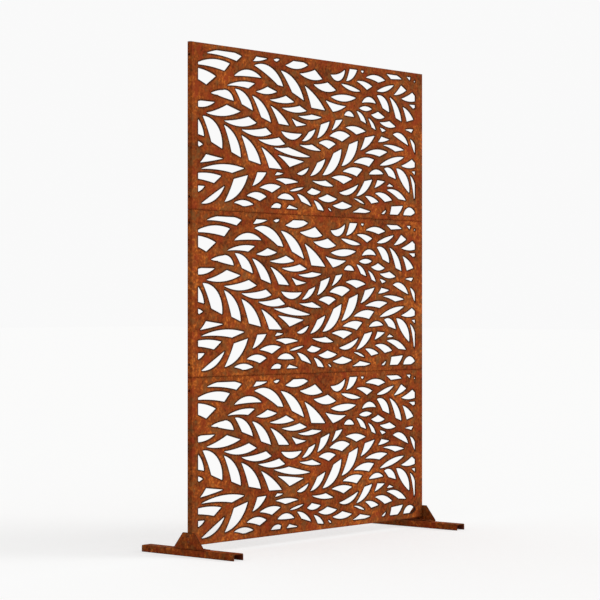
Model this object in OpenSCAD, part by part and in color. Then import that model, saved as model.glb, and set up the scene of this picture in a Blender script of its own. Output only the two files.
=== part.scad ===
// Free-standing garden screen: three laser cut steel panels, folded into shallow trays, stacked
// and bolted together, and carried at each end by a bracket on a pressed channel foot.
// X runs along the screen, the cut face looks towards -Y and Z is up.
// The origin is on the floor, under the middle of the screen and of its feet.

/* [Panels] */
// Width of the screen
screen_w = 1200; // [900:10:1600]
// Height of one panel, of which three are stacked
panel_h = 530; // [420:5:700]
// Thickness of the panel sheet
sheet_t = 2.5; // [1.5:0.1:4]
// Flat width inside a folded return, on which the washers lie
return_flat = 11; // [11:0.5:40]
// Width of the lips folded inwards at the rear of the returns
lip_w = 14; // [8:0.5:18]
// Inside radius of the panel folds
fold_r = 1.5; // [0.5:0.1:4]
// Diameter of every bolt hole
hole_d = 6.6; // [6.2:0.1:8]
// Distance of a side fixing hole from its panel's end
fixing_inset = 41; // [25:1:90]

/* [Foliage cut-outs] */
// Plain border left of the cut-outs
border_left = 31; // [15:1:60]
// Plain border right of the cut-outs
border_right = 44; // [15:1:60]
// Plain border above the cut-outs
border_top = 18; // [10:1:40]
// Plain border below the cut-outs
border_bottom = 20; // [10:1:40]
// How hollow a leaf's cut from root to corner is, as a share of that cut's length
leaf_hollow = 0.03; // [0:0.01:0.06]

/* [Seams] */
// Bolts along each seam
seam_bolts = 4; // [2:1:7]
// Distance of the first seam bolt from the side
seam_inset = 120; // [60:5:200]

/* [Feet] */
// Length of a foot, front to back
foot_l = 400; // [300:2:600]
// Width of the foot channel
foot_w = 45; // [36:1:80]
// Height of the foot channel
foot_h = 21.5; // [16:0.5:50]
// Thickness of the foot sheet
foot_t = 3; // [2:0.1:4]
// Inside radius of the channel folds
foot_fold_r = 1.5; // [0.5:0.1:4]
// How far the feet are set back from the middle of the panels
foot_set_back = 8; // [0:1:30]
// Gap between the foot and the bottom panel
under_gap = 11.5; // [8:0.5:40]

/* [Brackets] */
// Thickness of the bracket sheet
bracket_t = 3; // [2:0.1:5]
// Inside radius of the bracket fold
bracket_fold_r = 1.5; // [0.5:0.1:4]
// Height of a bracket above the foot
bracket_h = 53.5; // [50:0.5:90]
// Length of a bracket along the foot
bracket_base = 132; // [110:1:200]
// Length of a bracket's upper edge
bracket_top = 51; // [30:1:90]
// Width of the flange that lies on the foot, measured over the web
bracket_flange = 30; // [28:0.5:36]
// Height of the lower panel bolt above the bottom of the panel
bracket_bolt_low = 13; // [12:0.5:14]
// Distance between the two panel bolts
bracket_bolt_pitch = 17; // [14:0.5:18]
// Distance between the inner two foot bolts
foot_bolt_inner = 38; // [26:1:50]
// Distance of the outer two foot bolts from the bracket's ends
foot_bolt_end = 13.5; // [8:0.5:20]
// Distance of the foot bolts from the outside of the web
foot_bolt_in = 17; // [14:0.5:19]

/* [Fasteners] */
// Diameter of the bolt shanks
bolt_d = 6; // [5:0.1:6]
// Diameter of the domed bolt heads
head_d = 10.5; // [9:0.1:11]
// Height of the domed bolt heads
head_h = 3.3; // [2.5:0.1:4]
// Hexagon across the flats of the key socket
key_af = 4; // [3:0.1:5]
// Depth of the key socket
key_depth = 1.8; // [1:0.1:2]
// Outside diameter of the washers
washer_d = 11; // [10:0.1:11]
// Thickness of the washers
washer_t = 1.6; // [0.8:0.1:1.8]
// Hexagon nuts across the flats
nut_af = 10; // [9:0.1:10]
// Height of the nuts
nut_h = 5; // [4:0.1:5]
// Clearance on the diameter between a thread and its nut or washer
thread_play = 0.2; // [0.1:0.05:0.4]
// How far a bolt stands past its nut
bolt_past = 1.5; // [0.5:0.1:2]

/* [Hidden] */
$fn = 64;
arc_fn = 360;
cut = 1;

rust = "#8a4722";
bolt_rust = "#7d4a33";

// Depth of a folded return, measured over the face and the lips
return_d = return_flat + 2 * (sheet_t + fold_r);

// Levels
panel_z = foot_h + under_gap;
lower_seam_z = panel_z + panel_h;
upper_seam_z = lower_seam_z + panel_h;
// The holes in the returns, and the brackets, are set about the middle of the panels' depth
mid_y = -foot_set_back;
face_y = mid_y - return_d / 2;
side_x = screen_w / 2;
foot_bolt_x = side_x + bracket_t - foot_bolt_in;
fixing_z = [fixing_inset, panel_h - fixing_inset];
bracket_bolt_z = [bracket_bolt_low, bracket_bolt_low + bracket_bolt_pitch];
foot_bolt_y = [for (way = [-1, 1], off = [foot_bolt_inner / 2, bracket_base / 2 - foot_bolt_end])
                   mid_y + way * off];
seam_pitch = (screen_w - 2 * seam_inset) / (seam_bolts - 1);
seam_x = [for (i = [0 : seam_bolts - 1]) seam_inset - side_x + i * seam_pitch];

// The foliage is drawn for a panel of this size, seen from the front, with x to the right from
// the panel's left edge and y down from its top edge, and stretches with the panel.
drawn_w = 1200;
drawn_h = 530;

// A leaf is [root x, root y, tip x, tip y, belly, corner, place]. The belly is the rise of the
// arc on one side, above a leaf that points right and below it where it is negative. On the
// other side a hollow cut and a straight cut meet in a corner this far from the line from root
// to tip, and place is how far along that line the corner is. A place of 0 gives a second arc
// instead, which is hollow where the corner value is negative.
// A frond is its number of leaves and the one to three leaves that it blends between.
FRONDS = [
    // Down from the top left: the broad lower leaves, then the slim upper ones
    [2, [[-25, 222, 60, 296, 22, 30, 0.55], [52, 232, 144, 331, 33, 25, 0.63]]],
    [2, [[151, 253, 233, 354, 22, 26, 0.68], [234, 281, 330, 371, 18, 33, 0.61]]],
    [1, [[330, 313, 434, 381, 7, 34, 0.56]]],
    [4, [[69, 221, 230, 205, -12, 23, 0.61], [193, 251, 346, 252, -15, 17, 0.8],
         [316, 290, 450, 297, -11, 18, 0.77]]],
    [2, [[392, 312, 578, 332, -11, 13, 0.4], [412, 335, 545, 350, 1, 30, 0.48]]],
    [2, [[203, 134, 291, 198, 20, 18, 0.5], [286, 149, 380, 230, 18, 22, 0.62]]],
    [1, [[375, 174, 470, 234, 8, 26, 0.59]]],
    [1, [[558, 225, 505, 234, 1, 29, 1.34]]],
    [2, [[306, 134, 409, 127, -8, 16, 0.55], [372, 156, 496, 154, -7, 18, 0.67]]],
    [2, [[432, 178, 560, 179, -10, 14, 0.72], [515, 199, 638, 195, -10, 7, 0.58]]],
    [2, [[297, 50, 441, 107, 31, 8, 0.82], [427, 55, 547, 146, 23, 19, 0.57]]],
    [1, [[548, 94, 657, 170, 8, 39, 0.53]]],
    [1, [[768, 148, 697, 172, 3, 48, 1.35]]],
    [3, [[451, 36, 567, 25, -12, 24, 0.53], [524, 57, 642, 65, -11, 25, 0.66],
         [595, 87, 714, 97, -14, 19, 0.62]]],
    [2, [[686, 122, 822, 115, -14, 9, 0], [741, 73, 846, 90, -10, 5, 0]]],
    // The top left corner, with leaves that grow to the right
    [3, [[71, 31, 236, 26, 14, 17, 0.85], [14, 71, 180, 55, 15, 23, 0.83],
         [-60, 95, 114, 101, 16, 32, 0.75]]],
    [1, [[-20, 192, 109, 184, -16, 4, 0.5]]],
    // Two leaves that make one broad opening
    [2, [[91, 156, 172, 143, 5, 9, 0], [123, 161, 199, 173, 26, 1, 0]]],
    [2, [[166, 126, 300, 109, 9, 14, 0.75], [200, 92, 333, 88, 23, -2, 0]]],
    [2, [[291, 36, 361, 22, -3, 12, 0.25], [392, 22, 422, 18, -7, 3, 0.5]]],
    // Up through the middle: the broad leaves, then the slim ones on both sides
    [2, [[578, 396, 658, 335, -15, 14, 0.56], [642, 390, 744, 296, -28, 17, 0.68]]],
    [2, [[743, 354, 833, 262, -23, 24, 0.64], [846, 294, 926, 239, -9, 23, 0.47]]],
    [3, [[536, 281, 606, 238, -13, 9, 0.55], [614, 267, 681, 206, -12, 22, 0.5],
         [690, 236, 749, 195, -6, 17, 0.54]]],
    [3, [[622, 283, 712, 281, 11, 18, 0.59], [679, 256, 789, 248, 16, 19, 0.6],
         [765, 221, 875, 227, 10, 17, 0.54]]],
    [2, [[872, 303, 997, 292, 11, 14, 0.63], [809, 339, 922, 323, 12, 21, 0.73]]],
    [2, [[749, 373, 857, 361, 11, 21, 0.7], [690, 396, 801, 396, 9, 19, 0.58]]],
    [2, [[944, 259, 1008, 247, -3, 16, 0.33], [972, 269, 1092, 279, 7, 12, 0.58]]],
    [2, [[510, 392, 571, 369, -13, 1, 0], [472, 451, 545, 437, -5, 3, 0]]],
    // The top right
    [2, [[685, 46, 763, 22, -30, -7, 0], [768, 61, 832, 9, -13, 23, 0.54]]],
    [3, [[825, 57, 912, 68, 7, 18, 0.68], [875, 40, 984, 41, 13, 11, 0.65],
         [991, 18, 1079, 29, 9, 12, 0.3]]],
    [3, [[937, 82, 1034, 54, -11, 5, 0], [1033, 88, 1106, 66, -5, 24, 0.67],
         [1076, 98, 1175, 95, -8, 25, 0.66]]],
    [3, [[937, 98, 1008, 152, 23, 13, 0.57], [1008, 97, 1078, 179, 16, 19, 0.72],
         [1083, 126, 1147, 167, 7, 30, 0.63]]],
    [3, [[854, 129, 933, 126, 21, -3, 0], [839, 149, 910, 147, 8, 8, 0],
         [757, 179, 812, 181, 16, 1, 0]]],
    [3, [[824, 160, 879, 200, 11, 11, 0.55], [888, 180, 932, 219, 8, 10, 0.6],
         [953, 209, 988, 217, 2, 11, 0.45]]],
    [2, [[905, 167, 982, 170, -10, 15, 0.5], [953, 190, 1044, 199, -10, 13, 0.6]]],
    [2, [[1028, 228, 1117, 262, 22, 1, 0], [1127, 238, 1157, 292, 15, 2, 0]]],
    // The lower right
    [2, [[953, 341, 1092, 305, -9, 11, 0], [1075, 336, 1172, 331, -8, 23, 0.66]]],
    [3, [[978, 351, 1046, 385, 19, 10, 0.42], [1047, 347, 1123, 431, 28, 9, 0],
         [1126, 366, 1150, 455, 21, -3, 0]]],
    [2, [[893, 375, 974, 370, 16, 1, 0], [994, 412, 1031, 411, -1, 9, 0.38]]],
    [3, [[731, 446, 836, 413, -20, -2, 0], [823, 454, 912, 393, -14, 19, 0.62],
         [923, 421, 982, 396, -3, 19, 0.41]]],
    [2, [[993, 425, 1104, 458, 16, 9, 0.62], [927, 440, 1024, 460, 12, 16, 0.6]]],
    [2, [[872, 452, 947, 469, 7, 16, 0.5], [809, 463, 871, 481, 6, 2, 0.5]]],
    [3, [[962, 511, 990, 495, -7, 1, 0], [1005, 522, 1086, 478, -14, 28, 0.34],
         [1087, 513, 1156, 500, 24, 6, 0]]],
    // The lower left and the bottom
    [3, [[46, 509, 156, 448, -19, 1, 0], [154, 500, 267, 409, -20, 31, 0.56],
         [287, 443, 357, 396, -8, 24, 0.54]]],
    [2, [[199, 501, 293, 503, 11, 10, 0.5], [260, 476, 357, 475, 13, 15, 0.66]]],
    [2, [[323, 447, 428, 439, 10, 18, 0.57], [402, 416, 516, 420, 7, 12, 0.43]]],
    [2, [[44, 400, 249, 388, 14, 14, 0.71], [-40, 430, 140, 418, 12, 22, 0.8]]],
    [3, [[411, 477, 497, 479, 17, 2, 0], [510, 460, 584, 498, 10, 11, 0.37],
         [596, 478, 650, 511, 8, 14, 0.52]]],
    [2, [[376, 513, 431, 500, 11, 10, 0.85], [453, 512, 514, 509, -2, 13, 0.3]]],
    [2, [[561, 451, 633, 447, -10, 13, 0.35], [620, 469, 719, 468, -12, 14, 0.48]]],
    [2, [[695, 491, 800, 489, -11, 14, 0.5], [802, 510, 902, 504, -5, 14, 0.42]]],
    // Leaves by themselves, and tips of leaves that the border cuts off
    [1, [[430, 256, 535, 258, -23, -2, 0]]],
    [1, [[521, 295, 634, 308, -6, 12, 0.58]]],
    [1, [[587, 412, 700, 425, -7, 12, 0.63]]],
    [1, [[398, 402, 440, 395, -2, 8, 0.3]]],
    [1, [[40, 380, 148, 362, -1, 23, 0.29]]],
    [1, [[1098, 207, 1146, 203, 2, 11, 0.75]]],
    [1, [[672, 501, 690, 511, 3, 3, 0]]],
    [1, [[-25, 458, 62, 454, -19, 2, 0]]],
    [1, [[14, 313, 54, 322, 4, 12, 0.6]]],
    [1, [[631, 18, 701, 20, -10, 3, 0]]],
    [1, [[849, 18, 865, 18, -7, 3, 0]]],
    [1, [[1103, 16, 1131, 17, 1, 14, 0.8]]],
    [1, [[1149, 32, 1185, 22, -6, 6, 0]]],
    [1, [[1121, 116, 1185, 116, 1, 12, 0.35]]],
    [1, [[1137, 354, 1175, 352, 1, 12, 0.45]]],
];

function between(t, keys) =
    len(keys) == 1 ? keys[0]
    : len(keys) == 2 ? (1 - t) * keys[0] + t * keys[1]
    : (1 - t) * (1 - 2 * t) * keys[0] + 4 * t * (1 - t) * keys[1] + t * (2 * t - 1) * keys[2];

// ---- Cut-outs ----

// A disc whose rim passes through two points this far apart along x and rises by sag between
module leaf_disc(length, sag) {
    radius = (length * length / 4 + sag * sag) / (2 * sag);
    translate([length / 2, sag - radius])
        circle(r = radius, $fn = arc_fn);
}

module leaf(shape) {
    root = [shape[0] * screen_w / drawn_w, panel_h - shape[1] * panel_h / drawn_h];
    tip = [shape[2] * screen_w / drawn_w, panel_h - shape[3] * panel_h / drawn_h];
    belly = abs(shape[4]);
    run = tip - root;
    length = norm(run);
    corner = [shape[6] * length, -shape[5]];
    past_root = -corner / 2;
    past_tip = [length, 0] + ([length, 0] - corner) / 2;
    clear_y = 2 * belly + abs(shape[5]) + cut;
    translate(root)
        rotate(atan2(run.y, run.x))
            mirror([0, shape[4] < 0 ? 1 : 0])
                if (shape[6] > 0)
                    difference() {
                        intersection() {
                            leaf_disc(length, belly);
                            polygon([past_root, corner, past_tip, [past_tip.x, clear_y],
                                     [past_root.x, clear_y]]);
                        }
                        if (leaf_hollow > 0)
                            rotate(atan2(corner.y, corner.x)) translate([-cut, 0])
                                leaf_disc(norm(corner) + 2 * cut, leaf_hollow * norm(corner));
                    }
                else if (shape[5] > 0)
                    intersection() {
                        leaf_disc(length, belly);
                        mirror([0, 1]) leaf_disc(length, shape[5]);
                    }
                else
                    difference() {
                        leaf_disc(length, belly);
                        leaf_disc(length, -shape[5]);
                    }
}

module foliage() {
    intersection() {
        translate([border_left, border_bottom])
            square([screen_w - border_left - border_right, panel_h - border_top - border_bottom]);
        for (frond = FRONDS, i = [0 : frond[0] - 1])
            leaf(between(i / max(frond[0] - 1, 1), frond[1]));
    }
}

// ---- Panels ----

// The panel's outside, or with inset its hollow, as the common part of two folded strips
module tray_block(inset, radius) {
    depth = return_d - 2 * inset;
    intersection() {
        translate([inset, inset, -cut])
            linear_extrude(panel_h + 2 * cut) rounded(screen_w - 2 * inset, depth, radius);
        translate([-cut, inset, inset]) rotate([90, 0, 90])
            linear_extrude(screen_w + 2 * cut) rounded(depth, panel_h - 2 * inset, radius);
    }
}

module rounded(width, depth, radius) {
    translate([radius, 0]) square([width - 2 * radius, depth]);
    translate([0, radius]) square([width, depth - 2 * radius]);
    for (x = [radius, width - radius], y = [radius, depth - radius])
        translate([x, y]) circle(r = radius, $fn = arc_fn);
}

// A sheet folded back on all four sides, and inwards again at the rear, with closed corners
module tray() {
    difference() {
        difference() {
            tray_block(0, fold_r + sheet_t);
            tray_block(sheet_t, fold_r);
        }
        translate([lip_w, return_d - sheet_t - cut, lip_w])
            cube([screen_w - 2 * lip_w, sheet_t + 2 * cut, panel_h - 2 * lip_w]);
    }
}

// One panel, standing on z = 0 with its left edge at x = 0 and its face at y = 0
module folded_panel(side_holes_z, top_holes, bottom_holes) {
    difference() {
        tray();
        translate([0, sheet_t + cut, 0]) rotate([90, 0, 0])
            linear_extrude(sheet_t + 2 * cut) foliage();
        for (z = side_holes_z)
            translate([-cut, return_d / 2, z]) rotate([0, 90, 0])
                cylinder(d = hole_d, h = screen_w + 2 * cut);
        for (x = seam_x, z = [if (top_holes) panel_h - sheet_t, if (bottom_holes) 0])
            translate([x + side_x, return_d / 2, z - cut])
                cylinder(d = hole_d, h = sheet_t + 2 * cut);
    }
}

module place_panel(z) {
    translate([-side_x, face_y, z]) children();
}

module top_panel() {
    color(rust) place_panel(upper_seam_z) folded_panel(fixing_z, false, true);
}

module middle_panel() {
    color(rust) place_panel(lower_seam_z) folded_panel(fixing_z, true, true);
}

module bottom_panel() {
    color(rust) place_panel(panel_z)
        folded_panel(concat([fixing_z[1]], bracket_bolt_z), true, false);
}

// ---- Feet ----

// A foot at the right end: an open channel, legs down, its outer wall flush with the bracket
module foot() {
    outer_r = foot_fold_r + foot_t;
    translate([side_x + bracket_t - foot_w, foot_l / 2, 0])
        difference() {
            rotate([90, 0, 0]) linear_extrude(foot_l)
                difference() {
                    channel_outline(foot_w, foot_h, outer_r);
                    translate([foot_t, -cut])
                        channel_outline(foot_w - 2 * foot_t, foot_h - foot_t + cut, foot_fold_r);
                }
            for (y = foot_bolt_y)
                translate([foot_w - foot_bolt_in, y - foot_l / 2, foot_h - foot_t - cut])
                    cylinder(d = hole_d, h = foot_t + 2 * cut);
        }
}

module channel_outline(width, height, radius) {
    translate([radius, 0]) square([width - 2 * radius, height]);
    square([width, height - radius]);
    for (x = [radius, width - radius])
        translate([x, height - radius]) circle(r = radius, $fn = arc_fn);
}

// ---- Brackets ----

// The bracket's section: an upright web outside the panel and a flange on the foot
module bracket_section() {
    outer_r = bracket_fold_r + bracket_t;
    difference() {
        union() {
            translate([-outer_r, outer_r]) circle(r = outer_r, $fn = arc_fn);
            translate([-bracket_flange, 0]) square([bracket_flange - outer_r, outer_r]);
            translate([-outer_r, outer_r]) square([outer_r, bracket_h - outer_r]);
        }
        translate([-outer_r, outer_r]) circle(r = bracket_fold_r, $fn = arc_fn);
        translate([-bracket_flange - cut, bracket_t])
            square([bracket_flange + cut - outer_r, bracket_h]);
        translate([-outer_r - cut, outer_r])
            square([outer_r + cut - bracket_t, bracket_h]);
    }
}

// A bracket at the right end, cut to a trapezium as seen from the side
module bracket() {
    lower = bracket_base / 2;
    upper = bracket_top / 2;
    translate([side_x + bracket_t, mid_y, foot_h])
        difference() {
            intersection() {
                translate([0, lower, 0]) rotate([90, 0, 0])
                    linear_extrude(bracket_base) bracket_section();
                translate([-bracket_flange - cut, 0, 0]) rotate([90, 0, 90])
                    linear_extrude(bracket_flange + 2 * cut)
                        polygon([[-lower, -cut], [lower, -cut], [lower, bracket_t],
                                 [upper, bracket_h], [-upper, bracket_h],
                                 [-lower, bracket_t]]);
            }
            for (z = bracket_bolt_z)
                translate([-bracket_t - cut, 0, under_gap + z]) rotate([0, 90, 0])
                    cylinder(d = hole_d, h = bracket_t + 2 * cut);
            for (y = foot_bolt_y)
                translate([-foot_bolt_in, y - mid_y, -cut])
                    cylinder(d = hole_d, h = bracket_t + 2 * cut);
        }
}

// ---- Fasteners, each about the z axis with the first sheet's outside at z = 0 ----

// A bolt with its head above z = 0 that clamps sheets of this total thickness below it
module dome_bolt(grip) {
    shank = grip + washer_t + nut_h + bolt_past;
    dome_r = (head_d * head_d / 4 + head_h * head_h) / (2 * head_h);
    difference() {
        union() {
            translate([0, 0, -shank]) cylinder(d = bolt_d, h = shank + head_h / 2);
            intersection() {
                cylinder(d = head_d, h = head_h);
                translate([0, 0, head_h - dome_r]) sphere(r = dome_r, $fn = arc_fn / 3);
            }
        }
        translate([0, 0, head_h - key_depth])
            cylinder(d = key_af / cos(30), h = key_depth + cut, $fn = 6);
    }
}

module washer(grip) {
    translate([0, 0, -grip - washer_t])
        difference() {
            cylinder(d = washer_d, h = washer_t);
            translate([0, 0, -cut]) cylinder(d = bolt_d + 2 * thread_play, h = washer_t + 2 * cut);
        }
}

// The nut's corners are turned down at both ends, as on a bought nut
module nut(grip) {
    corner_r = nut_af / 2 / cos(30);
    turned = (corner_r - nut_af / 2) / 2;
    translate([0, 0, -grip - washer_t - nut_h])
        difference() {
            intersection() {
                cylinder(r = corner_r, h = nut_h, $fn = 6);
                cylinder(r1 = nut_af / 2, r2 = nut_af / 2 + nut_h, h = nut_h);
                cylinder(r1 = nut_af / 2 + nut_h, r2 = nut_af / 2, h = nut_h);
            }
            translate([0, 0, -cut]) cylinder(d = bolt_d + thread_play, h = nut_h + 2 * cut);
        }
}

// Seam bolts drop through the two returns that meet at this height
module along_seam(z) {
    for (x = seam_x) translate([x, mid_y, z + sheet_t]) children();
}

// Panel bolts go in from the outside of the right bracket
module through_web() {
    for (z = bracket_bolt_z)
        translate([side_x + bracket_t, mid_y, panel_z + z]) rotate([0, 90, 0]) children();
}

// Foot bolts drop through the right bracket's flange into the foot
module through_flange() {
    for (y = foot_bolt_y) translate([foot_bolt_x, y, foot_h + bracket_t]) children();
}

seam_grip = 2 * sheet_t;
web_grip = bracket_t + sheet_t;
flange_grip = bracket_t + foot_t;

module upper_seam_bolts() { color(bolt_rust) along_seam(upper_seam_z) dome_bolt(seam_grip); }
module upper_seam_washers() { color(bolt_rust) along_seam(upper_seam_z) washer(seam_grip); }
module upper_seam_nuts() { color(bolt_rust) along_seam(upper_seam_z) nut(seam_grip); }
module lower_seam_bolts() { color(bolt_rust) along_seam(lower_seam_z) dome_bolt(seam_grip); }
module lower_seam_washers() { color(bolt_rust) along_seam(lower_seam_z) washer(seam_grip); }
module lower_seam_nuts() { color(bolt_rust) along_seam(lower_seam_z) nut(seam_grip); }

module right_foot() { color(rust) foot(); }
module right_bracket() { color(rust) bracket(); }
module right_panel_bolts() { color(bolt_rust) through_web() dome_bolt(web_grip); }
module right_panel_washers() { color(bolt_rust) through_web() washer(web_grip); }
module right_panel_nuts() { color(bolt_rust) through_web() nut(web_grip); }
module right_foot_bolts() { color(bolt_rust) through_flange() dome_bolt(flange_grip); }
module right_foot_washers() { color(bolt_rust) through_flange() washer(flange_grip); }
module right_foot_nuts() { color(bolt_rust) through_flange() nut(flange_grip); }

// The left end is the right end mirrored
module left_foot() { mirror([1, 0, 0]) right_foot(); }
module left_bracket() { mirror([1, 0, 0]) right_bracket(); }
module left_panel_bolts() { mirror([1, 0, 0]) right_panel_bolts(); }
module left_panel_washers() { mirror([1, 0, 0]) right_panel_washers(); }
module left_panel_nuts() { mirror([1, 0, 0]) right_panel_nuts(); }
module left_foot_bolts() { mirror([1, 0, 0]) right_foot_bolts(); }
module left_foot_washers() { mirror([1, 0, 0]) right_foot_washers(); }
module left_foot_nuts() { mirror([1, 0, 0]) right_foot_nuts(); }

top_panel();
middle_panel();
bottom_panel();
upper_seam_bolts();
upper_seam_washers();
upper_seam_nuts();
lower_seam_bolts();
lower_seam_washers();
lower_seam_nuts();
left_bracket();
right_bracket();
left_foot();
right_foot();
left_panel_bolts();
left_panel_washers();
left_panel_nuts();
right_panel_bolts();
right_panel_washers();
right_panel_nuts();
left_foot_bolts();
left_foot_washers();
left_foot_nuts();
right_foot_bolts();
right_foot_washers();
right_foot_nuts();
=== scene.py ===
"""Looks of the laser cut metal screen: rusted sheet, rusted fasteners, and a pale studio."""

import logging
import math
from dataclasses import dataclass
from enum import Enum
from typing import Any

import bpy
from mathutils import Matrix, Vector


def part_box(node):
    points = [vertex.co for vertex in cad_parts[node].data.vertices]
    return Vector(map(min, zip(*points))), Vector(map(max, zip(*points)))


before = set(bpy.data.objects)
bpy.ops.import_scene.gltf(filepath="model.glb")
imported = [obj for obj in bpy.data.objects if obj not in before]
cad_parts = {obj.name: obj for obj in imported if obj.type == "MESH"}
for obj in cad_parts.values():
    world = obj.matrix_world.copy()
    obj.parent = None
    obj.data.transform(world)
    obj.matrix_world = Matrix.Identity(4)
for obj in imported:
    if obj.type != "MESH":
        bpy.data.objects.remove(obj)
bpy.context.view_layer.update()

Colour = tuple[float, float, float, float]
Tree = bpy.types.NodeTree
Socket = bpy.types.NodeSocket

LOG = logging.getLogger("screen")
MM = 0.001
SKIN = 0.1 * MM  # slack of a mask, so that the faces at its limit are inside it
WHITE: Colour = (1.0, 1.0, 1.0, 1.0)


class Side(Enum):
    """The two ends of the screen, as seen from the cut face."""

    LEFT = "left"
    RIGHT = "right"


class Level(Enum):
    """The stacked panels, from the top down."""

    TOP = "top"
    MIDDLE = "middle"
    BOTTOM = "bottom"


class Seam(Enum):
    """The joints between the stacked panels."""

    UPPER = "upper"
    LOWER = "lower"


# ---- Node helpers ----


def linear(hex_colour: str) -> Colour:
    """Turns an sRGB hex colour into Blender's linear colour.

    Args:
        hex_colour: Six hex digits after a hash.

    Returns:
        Red, green, blue and an alpha of 1.
    """
    parts = [int(hex_colour[i : i + 2], 16) / 255 for i in (1, 3, 5)]
    low = [c / 12.92 if c <= 0.04045 else ((c + 0.055) / 1.055) ** 2.4 for c in parts]
    return (*low, 1.0)


def add(tree: Tree, kind: str, settings: dict[str, Any] | None = None,
        **inputs: Any) -> bpy.types.Node:
    """Adds one node to a tree.

    Args:
        tree: The node tree.
        kind: Blender's name for the node's type.
        settings: Properties of the node, such as its operation.
        inputs: Value or source of each input, by its name with underscores or as in_N.

    Returns:
        The new node.
    """
    node = tree.nodes.new(kind)
    for name, value in (settings or {}).items():
        setattr(node, name, value)
    for name, value in inputs.items():
        key = int(name[3:]) if name.startswith("in_") else name.replace("_", " ")
        socket = node.inputs[key]
        if isinstance(value, Socket):
            tree.links.new(value, socket)
        else:
            socket.default_value = value
    return node


def new_material(name: str) -> tuple[bpy.types.Material, Tree]:
    """Makes a material with an empty node tree.

    Args:
        name: The material's name.

    Returns:
        The material and its tree.
    """
    material = bpy.data.materials.new(name)
    material.use_nodes = True
    material.node_tree.nodes.clear()
    return material, material.node_tree


def combine(tree: Tree, operation: str, first: Socket, second: Socket | float = 0.0) -> Socket:
    """Combines two values by one operation of Math.

    Args:
        tree: The node tree.
        operation: Blender's name for the operation.
        first: The first value.
        second: The second value, ignored by an operation on one value.

    Returns:
        The result's socket.
    """
    return add(tree, "ShaderNodeMath", {"operation": operation}, in_0=first,
               in_1=second).outputs[0]


def stretch(tree: Tree, value: Socket, low: float, high: float, new_low: float = 0.0,
            new_high: float = 1.0) -> Socket:
    """Maps one range of a value on to another and clamps what is outside it.

    Args:
        tree: The node tree.
        value: The value.
        low: Where the range starts. It may be above high, to turn the value round.
        high: Where the range ends.
        new_low: What low becomes.
        new_high: What high becomes.

    Returns:
        The result's socket.
    """
    return add(tree, "ShaderNodeMapRange", {"clamp": True}, Value=value, From_Min=low,
               From_Max=high, To_Min=new_low, To_Max=new_high).outputs[0]


def mix(tree: Tree, factor: Socket, first: Socket, second: Socket | Colour) -> Socket:
    """Mixes two colours.

    Args:
        tree: The node tree.
        factor: 0 for the first colour only and 1 for the second only.
        first: The first colour.
        second: The second colour.

    Returns:
        The result's socket.
    """
    return add(tree, "ShaderNodeMix", {"data_type": "RGBA"}, in_0=factor, in_6=first,
               in_7=second).outputs[2]


def weighted_sum(tree: Tree, *parts: tuple[Socket, float]) -> Socket:
    """Adds up values, each times its share.

    Args:
        tree: The node tree.
        parts: The values with their shares.

    Returns:
        The sum's socket.
    """
    total, *others = [combine(tree, "MULTIPLY", value, share) for value, share in parts]
    for part in others:
        total = combine(tree, "ADD", total, part)
    return total


def all_of(tree: Tree, first: Socket, *others: Socket) -> Socket:
    """Joins masks into one that is 1 where each of them is 1.

    Args:
        tree: The node tree.
        first: The first mask.
        others: The other masks.

    Returns:
        The joined mask's socket.
    """
    for mask in others:
        first = combine(tree, "MULTIPLY", first, mask)
    return first


def seen_rays(tree: Tree) -> Socket:
    """Finds the rays that show a surface, as against those that only carry light.

    Args:
        tree: The node tree.

    Returns:
        A socket that is 1 for a ray of the camera, of a mirror image or through a clear piece.
    """
    rays = add(tree, "ShaderNodeLightPath")
    seen = rays.outputs["Is Camera Ray"]
    for name in ("Is Glossy Ray", "Is Transmission Ray"):
        seen = combine(tree, "MAXIMUM", seen, rays.outputs[name])
    return seen


# ---- Masks ----

BEVEL_SAMPLES = 16
EDGE_BEGINS = 0.9998  # cosine of the bevelled normal's lean where an edge's line begins
EDGE_FULL = 0.985  # and where the line is at its full strength
WALL_LEAN = 0.3  # Y part of a normal, below which a face runs back from the cut face


def edge_mask(tree: Tree, reach_mm: float) -> Socket:
    """Finds the line along each sharp edge, by how far a bevelled normal leans.

    Args:
        tree: The material's tree.
        reach_mm: How far from a point an edge is looked for.

    Returns:
        A socket that is 1 on an edge and 0 away from it.
    """
    flat = add(tree, "ShaderNodeNewGeometry").outputs["True Normal"]
    bevelled = add(tree, "ShaderNodeBevel", {"samples": BEVEL_SAMPLES}, Radius=reach_mm * MM)
    alike = add(tree, "ShaderNodeVectorMath", {"operation": "DOT_PRODUCT"}, in_0=flat,
                in_1=bevelled.outputs[0]).outputs["Value"]
    return stretch(tree, alike, EDGE_BEGINS, EDGE_FULL)


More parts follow.
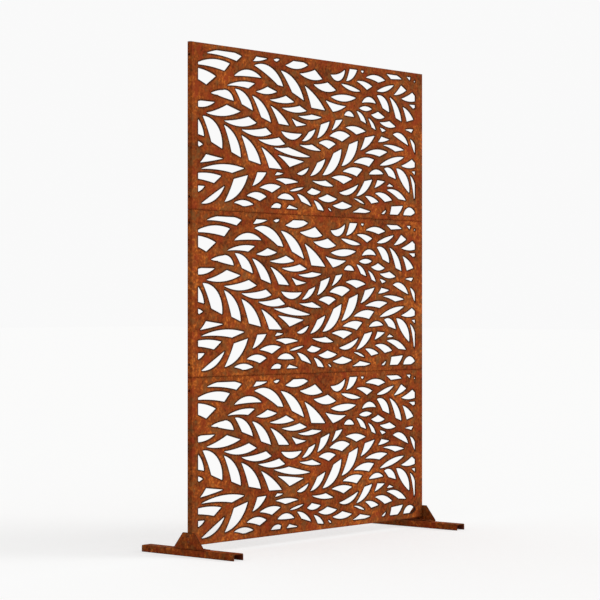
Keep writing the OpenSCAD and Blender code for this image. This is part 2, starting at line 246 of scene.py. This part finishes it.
@dataclass(frozen=True)
class CutField:
    """The part of a panel's face that the laser cut, in metres."""

    back_y: float  # where the cut walls end
    half_width: float
    low_z: float
    high_z: float

    def mask(self, tree: Tree, place: Socket) -> Socket:
        """Finds the field on a panel.

        Args:
            tree: The material's tree.
            place: Socket of the Object coordinates.

        Returns:
            A socket that is 1 in the field and 0 in the borders, returns and lips.
        """
        where = add(tree, "ShaderNodeSeparateXYZ", Vector=place).outputs
        reach = combine(tree, "ABSOLUTE", where["X"])
        return all_of(
            tree,
            combine(tree, "LESS_THAN", reach, self.half_width),
            combine(tree, "LESS_THAN", where["Y"], self.back_y),
            combine(tree, "GREATER_THAN", where["Z"], self.low_z),
            combine(tree, "LESS_THAN", where["Z"], self.high_z),
        )

    def wall_shade_mask(self, tree: Tree, field: Socket) -> Socket:
        """Finds the laser cut walls, which run back from the cut face and get painted shade.

        Args:
            tree: The material's tree.
            field: Socket of this field's mask.

        Returns:
            A socket that is 1 on a wall and 0 elsewhere.
        """
        normal = add(tree, "ShaderNodeNewGeometry").outputs["True Normal"]
        facing = add(tree, "ShaderNodeSeparateXYZ", Vector=normal).outputs["Y"]
        facing = combine(tree, "ABSOLUTE", facing)
        return all_of(tree, combine(tree, "LESS_THAN", facing, WALL_LEAN), field)


@dataclass(frozen=True)
class Hollow:
    """The inside of a foot, which is open below and at its ends and gets painted shade, in
    metres.
    """

    near_x: float  # its nearer wall, from the middle of the screen
    far_x: float
    top_z: float

    def mask(self, tree: Tree, place: Socket) -> Socket:
        """Finds the faces inside the channel, which get painted shade.

        Args:
            tree: The material's tree.
            place: Socket of the Object coordinates.

        Returns:
            A socket that is 1 inside the channel and 0 elsewhere.
        """
        where = add(tree, "ShaderNodeSeparateXYZ", Vector=place).outputs
        reach = combine(tree, "ABSOLUTE", where["X"])
        return all_of(
            tree,
            combine(tree, "GREATER_THAN", reach, self.near_x),
            combine(tree, "LESS_THAN", reach, self.far_x),
            combine(tree, "LESS_THAN", where["Z"], self.top_z),
        )


# ---- The finish ----


@dataclass(frozen=True)
class Blotches:
    """One scale of noise in the patina.

    Noise keeps near the middle of its range, so the part from low to high is stretched over
    this scale's share of the tone.
    """

    detail: float
    rough: float
    low: float = 0.3
    high: float = 0.7
    share: float = 0.0

    def value(self, tree: Tree, vector: Socket, size_mm: float) -> Socket:
        """Adds the noise.

        Args:
            tree: The material's tree.
            vector: Socket of the coordinates that it is drawn on.
            size_mm: Width of a blotch.

        Returns:
            The noise's value socket.
        """
        return add(tree, "ShaderNodeTexNoise", Vector=vector, Scale=1.0 / (size_mm * MM),
                   Detail=self.detail, Roughness=self.rough).outputs[0]

    def part(self, tree: Tree, value: Socket) -> tuple[Socket, float]:
        """Gives the stretched noise with its share of the tone, for a weighted sum."""
        return stretch(tree, value, self.low, self.high), self.share


CLOUDS = Blotches(detail=3.0, rough=0.5, share=0.28)
MOTTLE = Blotches(detail=4.0, rough=0.6, low=0.32, high=0.68, share=0.27)
FLECKS = Blotches(detail=3.0, rough=0.6, share=0.4)
RUNS = Blotches(detail=3.0, rough=0.5, share=0.05)
GRIT = Blotches(detail=2.0, rough=0.6)
HUES = Blotches(detail=4.0, rough=0.65)
RED_RANGE = (0.52, 0.64)  # of the noise of hues: none of the red, and all of it
OLIVE_RANGE = (0.47, 0.36)
PATCH_SHARE = 0.75  # how much of the red and the olive a patch takes on
DRIFT_SHARE = 0.4

SEED_STEPS = (1.0, 0.37, 0.61)  # way along X, Y and Z that a seed of 1 moves the patterns
SWIRLS_PER_M = 22.0
SWIRL_DETAIL = 2.0
SWIRL_PUSH_MM = 20.0  # how far the swirls push the blotches' outlines about
RUN_SCALE = (1.0, 1.0, 0.1)  # a run of rain is ten times as long as it is wide

DULL, WORN = 0.94, 0.8  # roughness of dark and of light rust
TONE_RANGE = (0.2, 0.8)  # tones between which the roughness changes
SHEEN = 0.08  # specular level, as oxide has next to no shine
SCAB_HEIGHT, GRIT_HEIGHT, MOTTLE_HEIGHT = 0.35, 0.35, 0.6  # shares of the relief
RELIEF_STRENGTH = 0.5
RELIEF_MM = 0.7
RAMP_LOW, RAMP_HIGH = 0.26, 0.74  # tones of the darkest and the lightest shade


@dataclass(frozen=True)
class Places:
    """The coordinates that the patterns of one finish are drawn on."""

    real: Socket  # the CAD's own, for what depends on the place
    moved: Socket  # moved by the seed
    swirled: Socket  # pushed about by slow swirls as well, so that blotches look torn


@dataclass(frozen=True)
class RustedSteel:
    """Weathering steel sheet, hot rolled and left in the rain until its patina closed.

    Oxide has no metal shine: the eye gets a matt orange brown, mottled with redder and more
    olive patches, with darker flecks and faint runs where rain went down. A dark line along each
    cut is the laser's heat tint with painted shade at the cut's edge, and the cut walls are
    darker still, their dark oxide with painted shade. Folds and corners have a fainter dark line
    of painted shade.
    """

    name: str
    # From the darkest flecks to the lightest
    shades: tuple[str, ...] = ("#57260c", "#76350f", "#884114", "#9c4c18", "#c46a25")
    red: str = "#8c3314"
    olive: str = "#764c26"
    wall: str = "#24130a"  # the cut walls: their dark oxide with painted shade
    scorch_and_shade: str = "#3a1e0d"  # painted shade along folds and corners; along cuts, the laser's heat tint with painted shade
    foot_inside_shade: str = "#6c2d17"  # painted shade: darker, even rust inside a foot's channel
    cloud_mm: float = 130.0  # clouds about a hand wide
    mottle_mm: float = 24.0  # blotches as wide as a thumb
    fleck_mm: float = 9.0  # real flecks are 1 to 4 mm, drawn coarser so that they show
    grit_mm: float = 1.6  # grain of the oxide
    scab_mm: float = 9.0  # raised scabs
    run_mm: float = 18.0  # width of a run of rain
    patch_mm: float = 30.0  # patches that turn redder or more olive
    drift_mm: float = 160.0  # the same, over two hands' width
    cut_reach_mm: float = 9.0  # the search for a cut's edge, about twice its line's width
    cut_share: float = 0.95  # strength of the line along the laser's cuts
    fold_reach_mm: float = 4.0  # the same for folds and corners
    fold_share: float = 0.6
    cuts: CutField | None = None
    shaded_hollow: Hollow | None = None
    seed: float = 0.0

    def places(self, tree: Tree) -> Places:
        """Sets up the coordinates of the patterns.

        Args:
            tree: The material's tree.

        Returns:
            The three sets of coordinates.
        """
        real = add(tree, "ShaderNodeTexCoord").outputs["Object"]
        moved = add(tree, "ShaderNodeMapping", Vector=real,
                    Location=[self.seed * step for step in SEED_STEPS]).outputs[0]
        swirls = add(tree, "ShaderNodeTexNoise", Vector=moved, Scale=SWIRLS_PER_M,
                     Detail=SWIRL_DETAIL).outputs["Color"]
        centred = add(tree, "ShaderNodeVectorMath", {"operation": "SUBTRACT"}, in_0=swirls,
                      in_1=(0.5, 0.5, 0.5)).outputs[0]
        swirled = add(tree, "ShaderNodeVectorMath", {"operation": "MULTIPLY_ADD"}, in_0=centred,
                      in_1=(SWIRL_PUSH_MM * MM,) * 3, in_2=moved).outputs[0]
        return Places(real, moved, swirled)

    def tone(self, tree: Tree, at: Places, mottle: Socket) -> Socket:
        """Adds up what makes the rust darker and lighter.

        Args:
            tree: The material's tree.
            at: The coordinates.
            mottle: Socket of the blotches, which the relief uses too.

        Returns:
            A socket that runs from 0 for the darkest rust to 1 for the lightest.
        """
        drawn_out = add(tree, "ShaderNodeMapping", Vector=at.moved, Scale=RUN_SCALE).outputs[0]
        return weighted_sum(
            tree,
            CLOUDS.part(tree, CLOUDS.value(tree, at.swirled, self.cloud_mm)),
            MOTTLE.part(tree, mottle),
            FLECKS.part(tree, FLECKS.value(tree, at.moved, self.fleck_mm)),
            RUNS.part(tree, RUNS.value(tree, drawn_out, self.run_mm)),
        )

    def turned(self, tree: Tree, at: Places, colour: Socket) -> Socket:
        """Turns the rust redder in some patches and more olive in others.

        Args:
            tree: The material's tree.
            at: The coordinates.
            colour: Socket of the rust's shade.

        Returns:
            The turned colour's socket.
        """
        for size_mm, share in ((self.patch_mm, PATCH_SHARE), (self.drift_mm, DRIFT_SHARE)):
            hue = HUES.value(tree, at.swirled, size_mm)
            for turn, span in ((self.red, RED_RANGE), (self.olive, OLIVE_RANGE)):
                amount = stretch(tree, hue, *span, new_high=share)
                colour = mix(tree, amount, colour, linear(turn))
        return colour

    def lined(self, tree: Tree, at: Places, colour: Socket) -> Socket:
        """Darkens the folds and corners with painted shade, the cut lines with heat tint and
        painted shade, and the cut walls with dark oxide and painted shade.

        Args:
            tree: The material's tree.
            at: The coordinates.
            colour: Socket of the rust's colour.

        Returns:
            The lined colour's socket.
        """
        # Painted shade along folds and corners
        line = combine(tree, "MULTIPLY", edge_mask(tree, self.fold_reach_mm), self.fold_share)
        if self.cuts is None:
            return mix(tree, line, colour, linear(self.scorch_and_shade))
        field = self.cuts.mask(tree, at.real)
        # Along the cuts: the laser's heat tint with painted shade at the edge
        cut_heat_and_shade = combine(tree, "MULTIPLY", edge_mask(tree, self.cut_reach_mm), self.cut_share)
        line = combine(tree, "MAXIMUM", line, all_of(tree, cut_heat_and_shade, field))
        colour = mix(tree, line, colour, linear(self.scorch_and_shade))
        # The cut walls: dark oxide with painted shade
        return mix(tree, self.cuts.wall_shade_mask(tree, field), colour, linear(self.wall))

    def relief(self, tree: Tree, at: Places, mottle: Socket) -> Socket:
        """Raises the scabs, the grit and the blotches of the oxide.

        Args:
            tree: The material's tree.
            at: The coordinates.
            mottle: Socket of the blotches.

        Returns:
            The bumped normal's socket.
        """
        scabs = add(tree, "ShaderNodeTexVoronoi", {"feature": "SMOOTH_F1"}, Vector=at.swirled,
                    Scale=1.0 / (self.scab_mm * MM)).outputs["Distance"]
        grit = GRIT.value(tree, at.moved, self.grit_mm)
        height = weighted_sum(tree, (scabs, SCAB_HEIGHT), (grit, GRIT_HEIGHT),
                              (mottle, MOTTLE_HEIGHT))
        return add(tree, "ShaderNodeBump", Strength=RELIEF_STRENGTH, Distance=RELIEF_MM * MM,
                   Height=height).outputs[0]

    def fill_ramp(self, ramp: bpy.types.ColorRamp) -> None:
        """Spreads the shades evenly over a ramp's middle.

        Args:
            ramp: The ramp, as Blender makes it with two elements.
        """
        last = len(self.shades) - 1
        while len(ramp.elements) < len(self.shades):
            ramp.elements.new(0.5)
        for i, shade in enumerate(self.shades):
            ramp.elements[i].position = RAMP_LOW + (RAMP_HIGH - RAMP_LOW) * i / last
            ramp.elements[i].color = linear(shade)

    def material(self) -> bpy.types.Material:
        """Builds the finish.

        Returns:
            The material.
        """
        made, tree = new_material(self.name)
        at = self.places(tree)
        mottle = MOTTLE.value(tree, at.swirled, self.mottle_mm)
        tone = self.tone(tree, at, mottle)
        ramp = add(tree, "ShaderNodeValToRGB", Fac=tone)
        self.fill_ramp(ramp.color_ramp)
        colour = self.turned(tree, at, ramp.outputs["Color"])
        # Painted shade inside a foot's channel
        if self.shaded_hollow is not None:
            colour = mix(tree, self.shaded_hollow.mask(tree, at.real), colour, linear(self.foot_inside_shade))
        colour = self.lined(tree, at, colour)
        shader = add(tree, "ShaderNodeBsdfPrincipled", Base_Color=colour,
                     Roughness=stretch(tree, tone, *TONE_RANGE, DULL, WORN),
                     Normal=self.relief(tree, at, mottle), Specular_IOR_Level=SHEEN)
        add(tree, "ShaderNodeOutputMaterial", Surface=shader.outputs[0])
        return made


# ---- The pieces ----


def dress(node: str, material: bpy.types.Material) -> None:
    """Gives a CAD node one material in every slot.

    Args:
        node: The node's name.
        material: The material.
    """
    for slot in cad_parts[node].material_slots:
        slot.material = material
    LOG.info("%s wears %s", node, material.name)


@dataclass
class Panels:
    """The three folded and laser cut panels."""

    sheet: float = 2.5 * MM
    border: float = 12.0 * MM  # narrower than the plain border, wider than the fold's line
    first_seed: float = 1.7
    seed_step: float = 3.1

    def make(self) -> None:
        """Dresses each panel in rust of its own, so that no two have the same clouds."""
        for i, level in enumerate(Level):
            node = f"{level.value}_panel"
            low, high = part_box(node)
            rust = RustedSteel(
                name=f"weathering steel, rusted, {level.value} sheet",
                cuts=CutField(
                    back_y=low.y + self.sheet + SKIN,
                    half_width=high.x - self.border,
                    low_z=low.z + self.border,
                    high_z=high.z - self.border,
                ),
                seed=self.first_seed + self.seed_step * i,
            )
            dress(node, rust.material())


@dataclass
class Stands:
    """The brackets and channel feet that hold the screen up."""

    wall: float = 3.0 * MM
    mottle_mm: float = 18.0  # finer than the panels', to suit the smaller faces
    foot_seed: float = 16.6
    bracket_seed: float = 13.1
    seed_step: float = 2.9

    def make(self) -> None:
        """Dresses the brackets and the feet."""
        for i, side in enumerate(Side):
            low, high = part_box(f"{side.value}_foot")
            reach = abs(low.x), abs(high.x)
            foot = RustedSteel(
                name=f"weathering steel, rusted, {side.value} foot",
                mottle_mm=self.mottle_mm,
                # The channel's inside, which gets painted shade
                shaded_hollow=Hollow(
                    near_x=min(reach) + self.wall - SKIN,
                    far_x=max(reach) - self.wall + SKIN,
                    top_z=high.z - self.wall + SKIN,
                ),
                seed=self.foot_seed + self.seed_step * i,
            )
            bracket = RustedSteel(
                name=f"weathering steel, rusted, {side.value} bracket",
                mottle_mm=self.mottle_mm,
                seed=self.bracket_seed + self.seed_step * i,
            )
            dress(f"{side.value}_foot", foot.material())
            dress(f"{side.value}_bracket", bracket.material())


@dataclass
class Fasteners:
    """The bolts, washers and nuts."""

    shades: tuple[str, ...] = ("#4a2416", "#66331f", "#7a4027", "#8a4c2e", "#a5633c")

    def groups(self) -> list[str]:
        """Names each group of like fasteners, by what it joins."""
        seams = [f"{seam.value}_seam" for seam in Seam]
        return seams + [f"{side.value}_{joined}" for joined in ("panel", "foot") for side in Side]

    def make(self) -> None:
        """Dresses every fastener in rust that is browner and finer than the sheet's."""
        rust = RustedSteel(
            name="weathering steel, forged fasteners, rusted",
            shades=self.shades,
            cloud_mm=40.0,
            mottle_mm=6.0,
            fleck_mm=2.5,
            grit_mm=0.6,
            run_mm=5.0,
            fold_reach_mm=1.0,
            fold_share=0.4,
            seed=23.9,
        )
        finish = rust.material()
        for group in self.groups():
            for kind in ("bolts", "washers", "nuts"):
                dress(f"{group}_{kind}", finish)


# ---- The studio ----


@dataclass
class Studio:
    """The pale floor, the white background, the lamp and the camera.

    Lengths are in metres, where their names don't say otherwise.
    """

    sensor_mm: float = 36.0
    focal_px: float = 2045.4  # the camera, fitted to the corners of the photographed screen
    picture_px: float = 600.0
    horizon_px: float = 308.91  # the horizon's row, counted from the picture's top
    heading_deg: float = 49.328  # clockwise from +Y
    eye: tuple[float, float, float] = (-5.2584, -4.4709, 0.7798)
    view_end: float = 200.0
    white: float = 0.95  # the background, as seen
    sky: float = 0.62  # the background, as a light
    floor_size: float = 120.0
    floor_colour: str = "#efefee"
    floor_lit: float = 0.6  # share of the floor that takes light and shadow, the rest glows
    floor_glow: float = 1.36
    key_from: tuple[float, float, float] = (3.2, -3.6, 1.9)  # shines from here to the origin
    key_strength: float = 1.6
    key_spread_deg: float = 35.0  # a wide lamp, for a soft shadow

    def camera(self) -> None:
        """Puts the camera where the photograph was taken from, level and unturned."""
        data = bpy.data.cameras.new("camera")
        data.sensor_width = self.sensor_mm
        data.lens = self.focal_px / self.picture_px * self.sensor_mm
        data.shift_y = (self.horizon_px - self.picture_px / 2) / self.picture_px
        data.clip_end = self.view_end
        camera = bpy.data.objects.new("camera", data)
        camera.location = self.eye
        camera.rotation_euler = (math.pi / 2, 0.0, -math.radians(self.heading_deg))
        bpy.context.scene.collection.objects.link(camera)
        bpy.context.scene.camera = camera

    def world(self) -> None:
        """Lights the scene from all round, and shows as white to the camera."""
        world = bpy.data.worlds.new("studio")
        bpy.context.scene.world = world
        world.use_nodes = True
        tree = world.node_tree
        tree.nodes.clear()
        level = stretch(tree, seen_rays(tree), 0.0, 1.0, self.sky, self.white)
        sky = add(tree, "ShaderNodeBackground", Color=WHITE, Strength=level)
        add(tree, "ShaderNodeOutputWorld", Surface=sky.outputs[0])

    def floor(self) -> None:
        """Lays a pale floor that keeps the shadow and meets the background without a line."""
        bpy.ops.object.select_all(action="DESELECT")
        bpy.ops.mesh.primitive_plane_add(size=self.floor_size, location=(0.0, 0.0, 0.0))
        floor = bpy.context.object
        floor.name = "studio_floor"
        made, tree = new_material("matt studio floor")
        matt = add(tree, "ShaderNodeBsdfDiffuse", Color=linear(self.floor_colour)).outputs[0]
        glow = add(tree, "ShaderNodeEmission", Color=WHITE, Strength=self.floor_glow).outputs[0]
        shown = add(tree, "ShaderNodeMixShader", in_0=1.0 - self.floor_lit, in_1=matt,
                    in_2=glow).outputs[0]
        both = add(tree, "ShaderNodeMixShader", in_0=seen_rays(tree), in_1=matt, in_2=shown)
        add(tree, "ShaderNodeOutputMaterial", Surface=both.outputs[0])
        floor.data.materials.append(made)

    def key_light(self) -> None:
        """Hangs the one soft key light, a sun, so that it lights the floor evenly."""
        data = bpy.data.lights.new("key", "SUN")
        data.energy = self.key_strength
        data.angle = math.radians(self.key_spread_deg)
        lamp = bpy.data.objects.new("key", data)
        lamp.location = self.key_from
        lamp.rotation_euler = (-Vector(self.key_from)).to_track_quat("-Z", "Y").to_euler()
        bpy.context.scene.collection.objects.link(lamp)

    def make(self) -> None:
        """Sets the whole studio up."""
        bpy.context.scene.view_settings.view_transform = "Standard"
        self.camera()
        self.world()
        self.floor()
        self.key_light()


def main() -> None:
    """Builds the screen's looks and the studio."""
    logging.basicConfig(level=logging.INFO, format="%(name)s: %(message)s")
    Panels().make()
    Stands().make()
    Fasteners().make()
    Studio().make()


if __name__ == "__main__":
    main()
